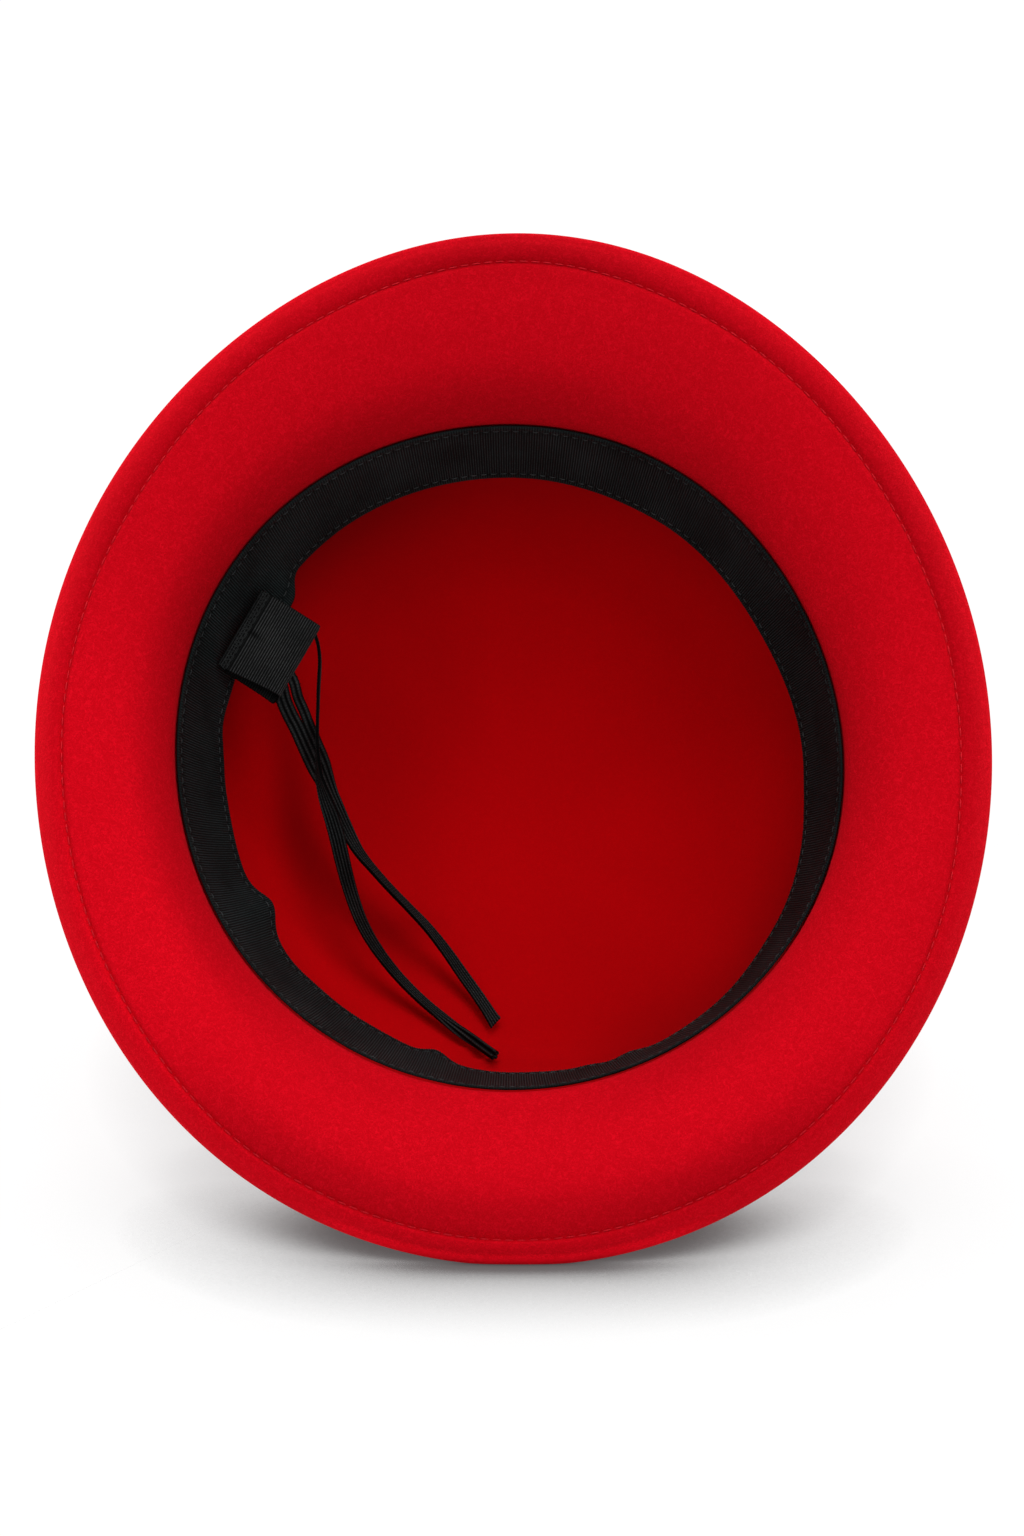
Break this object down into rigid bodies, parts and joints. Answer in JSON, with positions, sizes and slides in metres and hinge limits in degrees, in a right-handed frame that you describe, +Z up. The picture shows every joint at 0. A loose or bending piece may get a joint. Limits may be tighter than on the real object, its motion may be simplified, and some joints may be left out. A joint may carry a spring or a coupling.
{
  "type": "cloche hat",
  "caption": "Wool-felt cloche hat with a round crown, flared brim with stitched hem, ribbed sweatband, adjuster loop and loose flat elastics, lying on its side.",
  "frame": {"origin": "on the floor under the middle of the hat's box, as it lies on its side", "axes": "+Z up from the floor; +X across the opening to the right as seen from in front; the opening faces -Y and up, and the crown lies towards +Y"},
  "size_m": [0.2628, 0.2084, 0.2367],
  "materials": {
    "felt": "matte wool felt, red",
    "ribbon": "ribbed grosgrain ribbon, black",
    "elastic": "flat braided elastic, black"
  },
  "bodies": {
    "root": {"felt_body": "felt", "sweatband": "ribbon", "adjuster_loop": "ribbon", "elastic_front": "elastic", "elastic_back": "elastic"}
  },
  "joints": []
}
